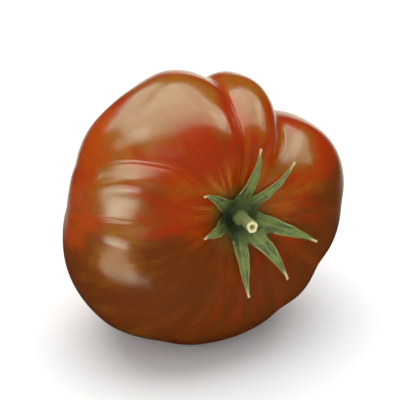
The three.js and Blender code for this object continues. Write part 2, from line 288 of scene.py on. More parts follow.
# Paler tan laid where the highlights fall: partly the skin's own tan on the crests of the ribs, partly a
# painted tint of the highlights
HIGHLIGHT_TAN_PATCHES = [
    (112, 0.4, 19, 0.115, 1.3),
    (96, 0.34, 8, 0.12, 0.8),
    (72, 0.35, 8, 0.15, 1.1),
    (40, 0.26, 9, 0.1, 1.3),
    (142, 0.33, 5, 0.08, 0.9),
    (148, 0.385, 4, 0.06, 0.8),
    (131, 0.37, 5, 0.06, 0.6),
    (31, 0.245, 4, 0.06, 0.6),
    (154, 0.325, 6, 0.07, 1.0),
    (162, 0.32, 4, 0.07, 0.7),
    (20, 0.18, 9, 0.1, 0.6),
    (138, 0.17, 8, 0.05, 0.5),
    (46, 0.17, 2.5, 0.08, 0.6),
    (44, 0.2, 4, 0.06, 0.2),
    (170, 0.28, 5, 0.08, 0.7),
    (-175, 0.32, 9, 0.08, 1.0),
    (-128, 0.45, 30, 0.12, 0.4),
]
# Orange skin; the two patches at azimuths 43 and 46, on the strip beside the deepest groove, are a painted
# highlight
ORANGE_AND_SHEEN_PATCHES = [
    (132, 0.5, 14, 0.16, 0.9),
    (160, 0.46, 20, 0.16, 0.8),
    (140, 0.17, 20, 0.07, 0.5),
    (46, 0.18, 4, 0.12, 1.1),
    (-172, 0.12, 20, 0.04, 0.6),
    (-178, 0.42, 12, 0.12, 0.7),
    (60, 0.15, 12, 0.06, 0.6),
    (133, 0.38, 9, 0.07, 0.7),
    (43, 0.2, 6, 0.08, 0.9),
]
STAR_PATCHES = [
    (112, 0.1, 22, 0.4, 1.45),
    (150, 0.1, 18, 0.4, 0.5),
    (62, 0.1, 16, 0.4, 1.5),
    (2, 0.1, 20, 0.4, 0.5),
]
# The star of amber and the olive shade round the calyx: spans in millimetres over the skin, whose
# whole way from the stem to the blossom end is about SKIN_LENGTH
SKIN_LENGTH = 82.0
STAR_RISE = (4.0, 7.0)
STAR_CLOSE = (7.5, 15.0)
STAR_LEAST = 0.12
STAR_STRENGTH = 0.8
OLIVE_CLOSE = (4.0, 8.5)
OLIVE_STRENGTH = 0.8
SUBSURFACE_DEPTH = 0.001
SKIN_ROUGHNESS = (0.16, 0.23)
MOTTLING_ROUGHNESS = 0.55
# How long the whole fruit and a whole blade are in the places that their textures read
MERIDIAN_SCALE = 3.0
BLADE_SCALE = 6.0

# Share of their brightness that the floor and the room have in the skin's reflections, where the
# floor is bright in a patch behind the fruit and dim elsewhere: two directions on it, and the spans
# in metres along them over which the patch begins and ends
FLOOR_IN_REFLECTIONS = 0.02
ROOM_IN_REFLECTIONS = 0.03
BRIGHT_FLOOR_BACK = (0.4067, 0.9135, 0.0)
BRIGHT_FLOOR_ASIDE = (0.9135, -0.4067, 0.0)
BRIGHT_FLOOR_BEGINS = (0.03, 0.09)
BRIGHT_FLOOR_LEFT = (-0.10, -0.05)
BRIGHT_FLOOR_RIGHT = (0.03, 0.16)
FLOOR_CLOUD_SHADE = 0.985

# The tint of what shows in reflections only, and the point that every light faces
SHINE_COLOUR = (0.85, 1.0, 0.83)
SHINE_TURN = -13.3
LIGHTS_AIM = (0.0, 0.0, 0.03)
# name, setting of its power, share of that power, place, width, height, turn, shape, and whether it
# only shows in reflections; the others light the scene and don't show in reflections
LIGHTS = [
    ("overhead shine", "shine", 1.0, (0.03, 0.31, 0.62), 1.13, 0.66, SHINE_TURN, "RECTANGLE", True),
    ("core shine", "shine", 0.15, (-0.17, 0.38, 0.6), 0.62, 0.46, SHINE_TURN, "RECTANGLE", True),
    ("back shine", "corner", 1.0, (-0.175, 0.91, 0.395), 0.43, 0.31, 0.0, "RECTANGLE", True),
    ("low left softbox", "left", 0.13, (-0.33, -0.06, 0.036), 0.22, 0.05, 0.0, "ELLIPSE", True),
    ("side shine", "shine", 0.22, (0.46, 0.04, 0.6), 0.54, 0.42, 0.0, "RECTANGLE", True),
    ("left shine", "shine", 0.17, (-0.56, 0.37, 0.6), 0.24, 0.56, 0.0, "RECTANGLE", True),
    ("front left shine", "shine", 0.055, (-0.5, -0.22, 0.58), 0.5, 0.36, 0.0, "RECTANGLE", True),
    ("overhead softbox", "overhead", 1.0, (0.075, 0.225, 0.62), 1.05, 0.85, 0.0, "RECTANGLE", False),
    ("left softbox", "left", 1.0, (-0.72, -0.08, 0.16), 0.55, 0.3, 0.0, "ELLIPSE", True),
    ("front fill", "fill", 1.0, (-0.7, -1.2, 0.6), 1.4, 0.9, 0.0, "RECTANGLE", False),
    ("foot card", "low", 0.35, (-0.08, -0.062, 0.004), 0.05, 0.02, 0.0, "ELLIPSE", True),
    ("low card", "low", 1.0, (-0.092, -0.032, 0.013), 0.07, 0.03, 0.0, "ELLIPSE", True),
]

# Middle of the picture, in millimetres right of and above the foot of the stub as the camera sees it
PICTURE_RIGHT = -10.5
PICTURE_UP = 4.5
CAMERA_NEAR = 0.05
CAMERA_FAR = 50.0


def setting(name, description, default, unit="NONE", subtype="NONE", low=0.0, high=10.0):
    """A number that a user can change in the sidebar."""
    return FloatProperty(
        name=name,
        description=description,
        default=default,
        unit=unit,
        subtype=subtype,
        min=low,
        max=high,
        precision=4,
    )


def length(name, description, millimetres):
    """A length in metres, as a setting."""
    return setting(name, description, millimetres / MILLIMETRES, "LENGTH", "DISTANCE")


def angle(name, description, degrees):
    """An angle, as a setting."""
    return setting(name, description, math.radians(degrees), "ROTATION", "ANGLE", -math.tau, math.tau)


def power(name, description, watts):
    """A light's power, as a setting."""
    return setting(name, description, watts, "POWER", "POWER", high=200.0)


def colour(name, description, default):
    """A colour, as a setting."""
    return FloatVectorProperty(
        name=name,
        description=description,
        default=default,
        subtype="COLOR",
        size=3,
        min=0.0,
        max=1.0,
    )


class FruitSettings(bpy.types.PropertyGroup):
    """Sizes and colours of the skin."""

    radius: length("Radius", "From the middle to the equator, before the ribs", 35.8)
    half_height: length("Half height", "From the equator to either end", 28.5)
    hollow_depth: length("Hollow depth", "Depth of the hollow round the stem", 9.0)
    hollow_radius: length("Hollow radius", "How far out the hollow reaches", 12.5)
    dimple_depth: length("Dimple depth", "Depth of the dimple at the blossom end", 2.6)
    dimple_radius: length("Dimple radius", "How far out the dimple reaches", 7.0)
    flat_depth: length("Flat spot", "How much of the lowest ribs is pressed flat", 1.9)
    ripple: length("Ripple", "Height of the skin's soft unevenness", 0.16)
    lean: angle("Lean", "Turn from upright to lying", 71)
    groove_share: setting("Grooves", "Share of the grooves' full depth", 1.0, subtype="FACTOR", high=2.0)
    red: colour("Red", "Ripe skin", (0.32, 0.024, 0.0008))
    # Also a painted highlight on the strip beside the deepest groove
    orange: colour("Orange", "Skin on the shoulders and in the grooves", (0.4, 0.055, 0.001))
    # Partly painted shade: besides the skin's own brown, this darkens the lower side and some hollows
    brown: colour("Brown", "Dusky skin on the shaded side", (0.13, 0.028, 0.002))
    # Partly a painted tint of the highlights: this tan is laid where the reflections fall on the crests of
    # the ribs
    tan: colour("Tan", "Paler skin on the crests of the ribs", (0.27, 0.088, 0.005))
    amber: colour("Amber", "Streaks round the calyx", (0.46, 0.15, 0.01))
    olive: colour("Olive", "Skin under the calyx", (0.16, 0.11, 0.018))
    cork: colour("Cork", "The scar at the blossom end", (0.30, 0.17, 0.07))


class CalyxSettings(bpy.types.PropertyGroup):
    """Sizes and colours of the sepals."""

    thickness: length("Thickness", "Of a blade at its midrib", 0.55)
    fold: setting("Fold", "Rise of a blade's edges from its midrib", 0.42)
    wave: length("Wave", "Unevenness of a blade's edges", 0.16)
    tip_curl: length("Tip curl", "How far the dry tips curl up", 0.7)
    leaf: colour("Leaf", "Upper side of the blades", (0.125, 0.18, 0.03))
    # Painted shade: this dark green is laid on the blades round the hub, and also gives their darker
    # mottles
    shade: colour("Root", "Dark roots of the blades", (0.012, 0.02, 0.005))
    vein: colour("Vein", "Midrib and veins", (0.27, 0.33, 0.1))
    margin: colour("Margin", "Pale margins", (0.44, 0.42, 0.2))
    dry: colour("Dry tip", "Dried tips", (0.62, 0.48, 0.27))


class StubSettings(bpy.types.PropertyGroup):
    """Sizes and colours of the stem stub."""

    radius: length("Radius", "Of the stub", 1.45)
    height: length("Length", "From its foot to the cut end", 7.8)
    foot: length("Foot", "How much the foot flares", 0.7)
    droop: length("Droop", "How far the cut end leans down", 1.3)
    pith_radius: length("Pith radius", "Of the soft pith in the cut end", 0.6)
    pith_depth: length("Pith depth", "Of the dent in the pith", 0.5)
    ridge: length("Ridge", "Height of the ridges along the stub", 0.09)
    bark: colour("Bark", "Side of the stub", (0.17, 0.21, 0.055))
    foot_colour: colour("Foot colour", "Foot of the stub", (0.09, 0.14, 0.03))
    cut: colour("Cut end", "Freshly cut ring", (0.72, 0.66, 0.36))
    pith: colour("Pith", "Middle of the cut end", (0.26, 0.21, 0.07))


class StageSettings(bpy.types.PropertyGroup):
    """Floor, light and camera."""

    floor_size: length("Floor size", "Side of the square floor", 6000.0)
    floor: colour("Floor", "Pale floor", (0.88, 0.88, 0.87))
    overhead: power("Overhead light", "Power of the overhead softbox", 5.5)
    shine: power("Overhead shine", "Power of its reflection in the skin", 8.8)
    left: power("Left light", "Power of the left softbox", 2.3)
    corner: power("Back shine", "Power of the back panel, in reflections", 1.3)
    fill: power("Front fill", "Power of the fill light in front", 7.0)
    low: power("Low light", "Power of the low card at the left", 0.018)
    room: setting("Room light", "Strength of the white room", 0.65)
    azimuth: angle("Azimuth", "Camera's turn round the fruit", -24)
    elevation: angle("Elevation", "Camera's height above level", 32)
    distance: length("Distance", "From the camera to the fruit", 1100.0)
    view_width: length("View width", "Width of the picture at the fruit", 105.6)


def in_millimetres(settings, *names):
    """The named lengths of some settings, in millimetres."""
    return [getattr(settings, name) * MILLIMETRES for name in names]


def ease(value, span):
    """From 0 to 1 over the span, smoothly."""
    share = np.clip((value - span[0]) / (span[1] - span[0]), 0.0, 1.0)
    return share * share * (3.0 - 2.0 * share)


def shown(value, rise, close):
    """1 between the two spans and 0 outside them, smoothly."""
    return ease(value, rise) * (1.0 - ease(value, close))


def mix(low, high, share):
    """A value the given share of the way from low to high."""
    return low + (high - low) * share


def wrapped(degrees):
    """The angle's nearest turn, from -180 to 180 degrees."""
    return np.mod(degrees + 180.0, 360.0) - 180.0


def bell(value):
    """1 at 0, falling smoothly on both sides."""
    return np.exp(-value * value)


def groove_azimuth(azimuths, along):
    """Azimuth of a groove at a share of the way from the stem to the blossom end."""
    hollow, equator = azimuths
    return mix(hollow, equator, ease(along, GROOVE_SWEEP_SPAN))


def from_line(azimuth, along, radius, azimuths):
    """How far a point lies beside a line on the skin, in millimetres."""
    degree = np.maximum(radius, 1.0) * math.pi / 180.0
    return wrapped(azimuth - groove_azimuth(azimuths, along)) * degree


def lip(azimuth, along, radius, groove, aside, height, width, start, end):
    """How far a lip beside a groove stands out."""
    off = from_line(azimuth, along, radius, GROOVES[groove][0]) - aside
    return height * bell(off / width) * shown(along, (start, start + LINE_RISE), (end - LIP_CLOSE, end))


class Fruit:
    """The skin's surface, as a function of the azimuth and the way along the fruit."""

    def __init__(self, sizes):
        self.radius, self.half_height = in_millimetres(sizes, "radius", "half_height")
        self.hollow_depth, self.hollow_radius = in_millimetres(sizes, "hollow_depth", "hollow_radius")
        self.dimple_depth, self.dimple_radius = in_millimetres(sizes, "dimple_depth", "dimple_radius")
        self.flat_depth, self.ripple = in_millimetres(sizes, "flat_depth", "ripple")
        self.lean = sizes.lean
        self.groove_share = sizes.groove_share
        self.shift = self.shift_to_solids()
        self.table = self.bridged_table()

    def section(self, along):
        """Radius and height of the plain section, and its outward direction."""
        across = np.clip(np.sin(np.pi * along), 0.0, None)
        upward = np.cos(np.pi * along)
        level = np.abs(upward)
        fullness = np.where(upward > 0, SHOULDER_FULLNESS, BLOSSOM_FULLNESS)
        reach = (across**fullness + level**fullness) ** (-1.0 / fullness)
        out = (across * reach) ** (fullness - 1.0) / self.radius
        rise = np.sign(upward) * (level * reach) ** (fullness - 1.0) / self.half_height
        norm = np.hypot(out, rise)
        return self.radius * across * reach, self.half_height * upward * reach, out / norm, rise / norm

    def swelling(self, azimuth, along):
        """How far the swollen ribs stand out."""
        belt = np.clip(np.sin(np.pi * along), 0.0, None) ** EQUATOR_ROUNDING
        crest = bell((along - SHOULDER_CREST) / SHOULDER_SPREAD)
        total = 0.0
        for centre, width, out, up in SWELLINGS:
            turn = wrapped(azimuth - centre) / width
            total = total + np.exp(-0.5 * turn * turn) * (out * belt + up * crest)
        return total * ease(along, GROOVES_RISE)

    def grooving(self, azimuth, along, radius):
        """How far the grooves cut in, and how near a point is to the bottom of a crease, from 0 to 1."""
        flank = ease(along, FLANK_DEPTH_SPAN)
        low = ease(along, LOW_SPAN)
        pinch = np.maximum(radius / self.radius, LEAST_PINCH) ** GROOVE_PINCH
        fade = shown(along, GROOVES_RISE, GROOVES_CLOSE)
        cut = 0.0
        crease = 0.0
        for azimuths, shoulder, equator, width, soft, left in GROOVES:
            depth = mix(shoulder, equator, flank) * mix(1.0, left, low)
            turn = wrapped(azimuth - groove_azimuth(azimuths, along)) / width * pinch
            cut = cut + depth * np.exp(soft - np.hypot(turn, soft))
            full_depth = CREASE_DEPTH + SOFT_CREASE_DEPTH * soft
            crease = crease + bell(turn / CREASE_WIDTH) * np.clip(depth / full_depth, 0.0, 1.0)
        return cut * fade * self.groove_share, np.clip(crease * fade, 0.0, 1.0)

    def fine_relief(self, azimuth, along, radius):
        """Lips, fine creases, pleats and the blossom scar, in millimetres outward."""
        relief = sum(lip(azimuth, along, radius, *row) for row in LIPS)
        soft = FINE_CREASE_SOFTNESS
        for azimuths, depth, width, start, end in FINE_CREASES:
            off = from_line(azimuth, along, radius, azimuths)
            there = shown(along, (start, start + LINE_RISE), (end - FINE_CREASE_CLOSE, end))
            relief = relief - depth * np.exp(soft - np.hypot(off / width, soft)) * there
        chance = np.random.default_rng(SEED)
        near_calyx = bell((along - PLEAT_MIDDLE) / PLEAT_SPREAD)
        for count in PLEAT_COUNTS:
            phase = chance.uniform(0.0, math.tau)
            wander = PLEAT_WANDER * np.sin(along * PLEAT_BENDS + phase)
            pleats = np.sin(np.radians(azimuth) * count + phase + wander)
            relief = relief + PLEAT_HEIGHT * near_calyx * pleats
        scar = SCAR_MOUND * bell((radius / SCAR_RADIUS) ** 2)
        scar = scar + SCAR_RING * bell((radius - SCAR_RING_RADIUS) / SCAR_RING_WIDTH)
        return relief + scar * (along > EQUATOR)

    def rippling(self, x, y, z):
        """The skin's soft unevenness: a few long waves in seeded directions."""
        chance = np.random.default_rng(SEED + 1)
        total = np.zeros_like(x)
        for _ in range(RIPPLE_WAVES):
            direction = chance.normal(size=3)
            direction /= np.linalg.norm(direction)
            step = math.tau / chance.uniform(*RIPPLE_LENGTHS)
            phase = chance.uniform(0.0, math.tau)
            total += np.sin((x * direction[0] + y * direction[1] + z * direction[2]) * step + phase)
        return total * self.ripple / math.sqrt(RIPPLE_WAVES)

    def skin(self, azimuth, along, grooved=True, fine=False):
        """Points of the skin in the fruit's own frame, and the crease mask."""
        plain_radius, height, out, rise = self.section(along)
        turn = np.radians(azimuth)
        offset = self.swelling(azimuth, along)
        crease = np.zeros_like(offset)
        if grooved:
            cut, crease = self.grooving(azimuth, along, plain_radius)
            offset = offset - cut + lip(azimuth, along, plain_radius, *FOLD)
        if fine:
            offset = offset + self.fine_relief(azimuth, along, plain_radius)
            spread = plain_radius * np.cos(turn), plain_radius * np.sin(turn), height + 0.0 * azimuth
            offset = offset + self.rippling(*spread)
        radius = plain_radius + out * offset
        height = height + rise * offset
        hollow = self.hollow_depth * bell(plain_radius / self.hollow_radius)
        dimple = self.dimple_depth * bell(plain_radius / self.dimple_radius)
        height = height - np.where(along < EQUATOR, hollow, -dimple)
        aside = ease(along, STEM_ASIDE_SPAN)
        x = radius * np.cos(turn) - STEM_ASIDE[0] * aside
        y = radius * np.sin(turn) - STEM_ASIDE[1] * aside
        return x, y, height, crease

    def columns(self, column_degrees, fewest):
        """Mesh columns that follow the grooves: each one's groove, and its share of the way to the next."""
        grooves, shares = [], []
        for index, groove in enumerate(GROOVES):
            following = GROOVES[(index + 1) % len(GROOVES)]
            start = groove_azimuth(groove[0], COLUMNS_COUNTED)
            span = (groove_azimuth(following[0], COLUMNS_COUNTED) - start) % 360
            count = max(fewest, round(span / column_degrees))
            even = np.arange(count) / count
            bunched = (1.0 - np.cos(np.pi * even)) / 2.0
            grooves.append(np.full(count, index))
            shares.append((even + bunched) / 2.0)
        return np.concatenate(grooves), np.concatenate(shares)

    def grid(self, rows, column_degrees, fewest):
        """Azimuth and way along of each point: one row for each step, one column for each mesh column."""
        grooves, shares = self.columns(column_degrees, fewest)
        along = np.linspace(0.0, 1.0, rows + 1)
        lines = np.array([groove_azimuth(groove[0], along) for groove in GROOVES])
        start = lines[grooves].T
        span = np.mod(lines[(grooves + 1) % len(GROOVES)].T - start, 360.0)
        azimuth = start + span * shares[None, :]
        return azimuth, along[:, None] + 0.0 * azimuth

    def leaned(self, x, y, z):
        """The points turned from upright to lying."""
        cosine, sine = math.cos(self.lean), math.sin(self.lean)
        return np.stack([x, y * cosine - z * sine, y * sine + z * cosine], axis=-1)

    def pressed(self, points):
        """The leaned points with the lowest ribs pressed flat."""
        floor = points[..., 2].min() + self.flat_depth
        height = points[..., 2] - floor
        flat = np.maximum(height + FLAT_SPOT_BLEND, 0.0) ** 2 / (4.0 * FLAT_SPOT_BLEND)
        made = points.copy()
        made[..., 2] = floor + np.where(height < FLAT_SPOT_BLEND, flat, height)
        return made

    def shift_to_solids(self):
        """How far the leaned fruit moves to lie where its solid lies."""
        azimuth, along = self.grid(CAD_ROWS, CAD_COLUMN_DEGREES, CAD_FEWEST_COLUMNS)
        x, y, z, _ = self.skin(azimuth, along)
        points = self.pressed(self.leaned(x, y, z)).reshape(-1, 3)
        low, high = (np.array(corner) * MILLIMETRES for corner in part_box("fruit"))
        return (low + high) / 2.0 - (points.min(axis=0) + points.max(axis=0)) / 2.0

    def placed(self, x, y, z):
        """The points where they are in the scene, in metres."""
        return (self.leaned(x, y, z) + self.shift) / MILLIMETRES

    def bridged_table(self):
        """Heights of the ungrooved skin, over whole degrees and small steps from the stem's axis."""
        along = np.linspace(0.0, BRIDGE_SPAN, BRIDGE_SAMPLES)
        azimuth = np.arange(-180.0, 181.0)[:, None]
        x, y, z, _ = self.skin(azimuth, along[None, :], grooved=False)
        reach = np.hypot(x, y)
        steps = np.arange(0.0, BRIDGE_REACH, BRIDGE_STEP)
        return np.array([np.interp(steps, reach[row], z[row]) for row in range(len(azimuth))])

    def bridged(self, azimuth, radius):
        """The ungrooved skin's height at a distance from the stem's axis."""
        rows, columns = self.table.shape
        place = wrapped(azimuth) + 180.0
        row = np.clip(np.floor(place).astype(int), 0, rows - 2)
        step = np.clip(radius / BRIDGE_STEP, 0.0, columns - 2)
        column = np.floor(step).astype(int)
        down, side = place - row, step - column
        near = mix(self.table[row, column], self.table[row + 1, column], down)
        far = mix(self.table[row, column + 1], self.table[row + 1, column + 1], down)
        return mix(near, far, side)

    def receptacle_top(self):
        """Height of the top of the receptacle that carries the stub."""
        ring = np.arange(0.0, 360.0, 10.0)
        highest = self.bridged(ring, RECEPTACLE_RADIUS + 0.0 * ring).max()
        return highest + TOUCHING_GAP + RECEPTACLE_THICKNESS


def add_mesh(name, points, faces, material):
    """A smooth-shaded mesh object at the origin, its points in metres."""
    mesh = bpy.data.meshes.new(name)
    mesh.from_pydata(points.reshape(-1, 3).tolist(), [], faces)
    mesh.polygons.foreach_set("use_smooth", [True] * len(mesh.polygons))
    mesh.materials.append(material)
    mesh.update()
    piece = bpy.data.objects.new(name, mesh)
    bpy.context.scene.collection.objects.link(piece)
    return piece


def add_masks(piece, masks):
    """A number for each point under each name, which the material reads."""
    for name, values in masks.items():
        attribute = piece.data.attributes.new(name, "FLOAT", "POINT")
        attribute.data.foreach_set("value", np.ascontiguousarray(values, dtype=np.float32).ravel())


def add_place(piece, name, x, y, z):
    """A vector for each point, which the material reads as a place in its textures."""
    attribute = piece.data.attributes.new(name, "FLOAT_VECTOR", "POINT")
    values = np.stack([x, y, z], axis=-1).astype(np.float32)
    attribute.data.foreach_set("vector", values.ravel())


def grid_faces(rows, columns, first=0, closed=True):
    """Quads between neighbouring rows of points; a closed row ends where it begins."""
    faces = []
    for row in range(rows - 1):
        near, far = first + row * columns, first + (row + 1) * columns
        for column in range(columns if closed else columns - 1):
            following = (column + 1) % columns
            faces.append((near + column, far + column, far + following, near + following))
    return faces


def closed_faces(rows, columns, first_pole, last_pole):
    """The faces of closed rows of points with a fan to a pole at either end."""
    faces = grid_faces(rows, columns)
    last = (rows - 1) * columns
    for column in range(columns):
        following = (column + 1) % columns
        faces.append((first_pole, column, following))
        faces.append((last + following, last + column, last_pole))
    return faces


def put(tree, kind, inputs=None, **values):
    """A node with its settings and inputs; an input is a socket to link, or a value."""
    made = tree.nodes.new(kind)
    for name, value in values.items():
        setattr(made, name, value)
    for name, value in (inputs or {}).items():
        if isinstance(value, bpy.types.NodeSocket):
            tree.links.new(value, made.inputs[name])
        else:
            made.inputs[name].default_value = value
    return made


def sum_of(tree, first, second):
    """first + second."""
    return put(tree, "ShaderNodeMath", {0: first, 1: second}, operation="ADD").outputs[0]


def product(tree, first, second):
    """first * second."""
    return put(tree, "ShaderNodeMath", {0: first, 1: second}, operation="MULTIPLY").outputs[0]


def swing(tree, mask, share):
    """A mask moved to lie around 0, times a share."""
    return product(tree, sum_of(tree, mask, -0.5), share)


def stretch(tree, value, low, high, to_low=0.0, to_high=1.0):
    """The value moved from one range to another, smoothly and held at the ends."""
    inputs = {0: value, 1: low, 2: high, 3: to_low, 4: to_high}
    return put(tree, "ShaderNodeMapRange", inputs, interpolation_type="SMOOTHSTEP").outputs[0]


def blend(tree, share, first, second):
    """Two colours mixed by a share; a colour is a socket, or its red, green and blue."""
    inputs = {0: share}
    for index, value in ((6, first), (7, second)):
        inputs[index] = value if isinstance(value, bpy.types.NodeSocket) else (*value, 1.0)
    return put(tree, "ShaderNodeMix", inputs, data_type="RGBA").outputs[2]


def read(tree, name, output="Fac"):
    """A mask or place that the mesh carries."""
    return put(tree, "ShaderNodeAttribute", attribute_name=name).outputs[output]


def scaled_place(tree, place, factors):
    """A place stretched by a factor along each axis."""
    return put(tree, "ShaderNodeVectorMath", {0: place, 1: factors}, operation="MULTIPLY").outputs[0]


def start_group(name, inputs, outputs):
    """An empty shader node group that takes a place and some numbers, and gives some numbers."""
    tree = bpy.data.node_groups.new(name, "ShaderNodeTree")
    tree.interface.new_socket(name="Place", in_out="INPUT", socket_type="NodeSocketVector")
    for way, labels in (("INPUT", inputs), ("OUTPUT", outputs)):
        for label in labels:
            tree.interface.new_socket(name=label, in_out=way, socket_type="NodeSocketFloat")
    return tree, tree.nodes.new("NodeGroupInput").outputs, tree.nodes.new("NodeGroupOutput").inputs


def soft_mottling_group(name):
    """Cloudy patches: a mask from 0 to 1."""
    tree, entry, ending = start_group(name, ["Scale", "Detail", "Contrast"], ["Mask"])
    inputs = {"Vector": entry["Place"], "Scale": entry["Scale"], "Detail": entry["Detail"]}
    inputs["Roughness"] = MOTTLING_ROUGHNESS
    cloud = put(tree, "ShaderNodeTexNoise", inputs).outputs[0]
    low = put(tree, "ShaderNodeMath", {0: 0.5, 1: entry["Contrast"]}, operation="SUBTRACT").outputs[0]
    high = sum_of(tree, 0.5, entry["Contrast"])
    tree.links.new(stretch(tree, cloud, low, high), ending["Mask"])
    return tree


def fine_dots_group(name):
    """Small soft dots: a mask from 0 to 1, and a height for the bump."""
    tree, entry, ending = start_group(name, ["Scale", "Size"], ["Mask", "Height"])
    cells = put(tree, "ShaderNodeTexVoronoi", {"Vector": entry["Place"], "Scale": entry["Scale"]})
    dots = stretch(tree, cells.outputs["Distance"], entry["Size"], 0.0)
    chosen = put(tree, "ShaderNodeSeparateColor", {0: cells.outputs["Color"]}).outputs[0]
    tree.links.new(product(tree, dots, stretch(tree, chosen, 0.3, 0.8)), ending["Mask"])
    tree.links.new(product(tree, dots, chosen), ending["Height"])
    return tree


GROUP_MAKERS = {"Soft mottling": soft_mottling_group, "Fine dots": fine_dots_group}


def use_group(tree, name, **inputs):
    """One of the shared effects placed in a material, with this material's values."""
    group = bpy.data.node_groups.get(name) or GROUP_MAKERS[name](name)
    return put(tree, "ShaderNodeGroup", inputs, node_tree=group).outputs


def mottling(tree, place, scale, detail=4.0, contrast=0.22):
    """A mask of cloudy patches."""
    outputs = use_group(tree, "Soft mottling", Place=place, Scale=scale, Detail=detail, Contrast=contrast)
    return outputs["Mask"]


def start_material(name, roughness=0.5, ior=1.46, subsurface=0.0, radius=(1.0, 0.3, 0.1)):
    """A material with a Principled shader, its tree and the place in the piece's own frame."""
    material = bpy.data.materials.new(name)
    material.use_nodes = True
    tree = material.node_tree
    shader = tree.nodes["Principled BSDF"]
    numbers = {
        "Roughness": roughness,
        "IOR": ior,
        "Subsurface Weight": subsurface,
        "Subsurface Radius": radius,
        "Subsurface Scale": SUBSURFACE_DEPTH,
    }
    for key, value in numbers.items():
        shader.inputs[key].default_value = value
    return material, tree, shader, put(tree, "ShaderNodeTexCoord").outputs["Object"]


def finish_material(tree, shader, base, layers, height, strength, distance):
    """Lays each colour over the base by its share, and gives the shader its colour and its bump."""
    for share, layer in layers:
        base = blend(tree, share, base, layer)
    tree.links.new(base, shader.inputs["Base Color"])
    bump = put(tree, "ShaderNodeBump", {"Strength": strength, "Distance": distance, "Height": height})
    tree.links.new(bump.outputs[0], shader.inputs["Normal"])


def skin_material(colours):
    """Glossy skin: red and brown clouds, with painted shade on the lower side and a painted tint of the
    highlights, amber streaks round the calyx, golden specks.
    """
    material, tree, shader, place = start_material(
        "tomato skin", ior=1.42, subsurface=0.2, radius=(2.2, 0.5, 0.15)
    )
    meridian = read(tree, "meridian", "Vector")
    streaks = mottling(tree, scaled_place(tree, meridian, (1.0, 1.0, 0.35)), scale=7.0)
    thin_streaks = mottling(tree, scaled_place(tree, meridian, (1.0, 1.0, 0.25)), scale=9.0, contrast=0.2)
    clouds = mottling(tree, place, scale=60.0)
    grain = mottling(tree, place, scale=420.0, detail=2.0, contrast=0.3)
    specks = use_group(tree, "Fine dots", Place=place, Scale=1100.0, Size=0.4)
    uneven = sum_of(tree, swing(tree, clouds, 0.24), swing(tree, streaks, 0.55))
    scar = read(tree, "scar")

    def patchy(name, low, high):
        """A mask of the mesh with uneven edges."""
        return stretch(tree, sum_of(tree, read(tree, name), uneven), low, high)

    amber = product(tree, read(tree, "amber"), stretch(tree, thin_streaks, 0.1, 0.9, 0.1, 1.0))
    layers = [
        # orange skin, with a painted highlight on the strip beside the deepest groove
        (patchy("orange_and_sheen", 0.05, 1.0), colours.orange),
        # brown skin and painted shade on the lower side and in some hollows
        (patchy("brown_and_shade", 0.15, 0.95), colours.brown),
        # painted highlight tint: tan where the reflections fall, partly the crests' own tan
        (patchy("tan", 0.1, 1.0), colours.tan),
        (amber, colours.amber),
        (read(tree, "olive"), colours.olive),
        (product(tree, read(tree, "crease"), 0.5), colours.orange),
        (product(tree, specks["Mask"], 0.12), colours.amber),
        (stretch(tree, grain, 0.0, 1.0, 0.0, 0.16), colours.brown),
        (scar, colours.cork),
    ]
    rough = sum_of(tree, stretch(tree, clouds, 0.0, 1.0, *SKIN_ROUGHNESS), product(tree, scar, 0.4))
    tree.links.new(rough, shader.inputs["Roughness"])
    height = sum_of(tree, product(tree, specks["Height"], 0.4), product(tree, grain, 0.6))
    finish_material(tree, shader, colours.red, layers, height, strength=0.1, distance=0.0001)
    return material


def sepal_material(colours):
    """Matte green blades with pale veins and margins, painted shade at the roots round the hub, and dry
    tips.
    """
    material, tree, shader, place = start_material("tomato sepal", subsurface=0.15, radius=(0.5, 0.8, 0.2))
    blade = scaled_place(tree, read(tree, "blade", "Vector"), (5.0, 0.7, 1.0))
    clouds = mottling(tree, place, scale=300.0, contrast=0.25)
    fibres = mottling(tree, blade, scale=3.0)
    dots = use_group(tree, "Fine dots", Place=place, Scale=3200.0, Size=0.5)
    edge = sum_of(tree, read(tree, "margin"), swing(tree, clouds, 0.3))
    tip = sum_of(tree, read(tree, "share"), swing(tree, clouds, 0.06))
    layers = [
        (stretch(tree, clouds, 0.35, 0.85, 0.0, 0.85), colours.shade),
        (product(tree, fibres, 0.4), colours.vein),
        (product(tree, read(tree, "midrib"), 0.55), colours.vein),
        # painted shade round the hub
        (read(tree, "hub_shade"), colours.shade),
        (stretch(tree, edge, 0.8, 1.1, 0.0, 0.8), colours.margin),
        (stretch(tree, tip, 0.86, 0.96), colours.dry),
    ]
    height = sum_of(tree, product(tree, fibres, 0.8), product(tree, dots["Height"], 0.5))
    finish_material(tree, shader, colours.leaf, layers, height, strength=0.35, distance=0.00015)
    return material


def stub_material(colours):
    """Pale green stub with a dark foot, fibres along it and a cream cut end."""
    material, tree, shader, place = start_material(
        "tomato stem stub", roughness=0.55, subsurface=0.15, radius=(0.6, 0.8, 0.3)
    )
    blade = scaled_place(tree, read(tree, "blade", "Vector"), (3.0, 3.0, 0.5))
    clouds = mottling(tree, place, scale=420.0, contrast=0.25)
    fibres = mottling(tree, blade, scale=4.0)
    dots = use_group(tree, "Fine dots", Place=place, Scale=3600.0, Size=0.5)
    layers = [
        (stretch(tree, clouds, 0.0, 1.0, 0.0, 0.4), colours.foot_colour),
        (product(tree, fibres, 0.3), colours.cut),
        (stretch(tree, read(tree, "share"), 0.35, 0.0), colours.foot_colour),
        (read(tree, "cut"), colours.cut),
        (read(tree, "pith"), colours.pith),
    ]
    height = sum_of(tree, product(tree, fibres, 0.8), product(tree, dots["Height"], 0.6))
    finish_material(tree, shader, colours.bark, layers, height, strength=0.4, distance=0.00015)
    return material


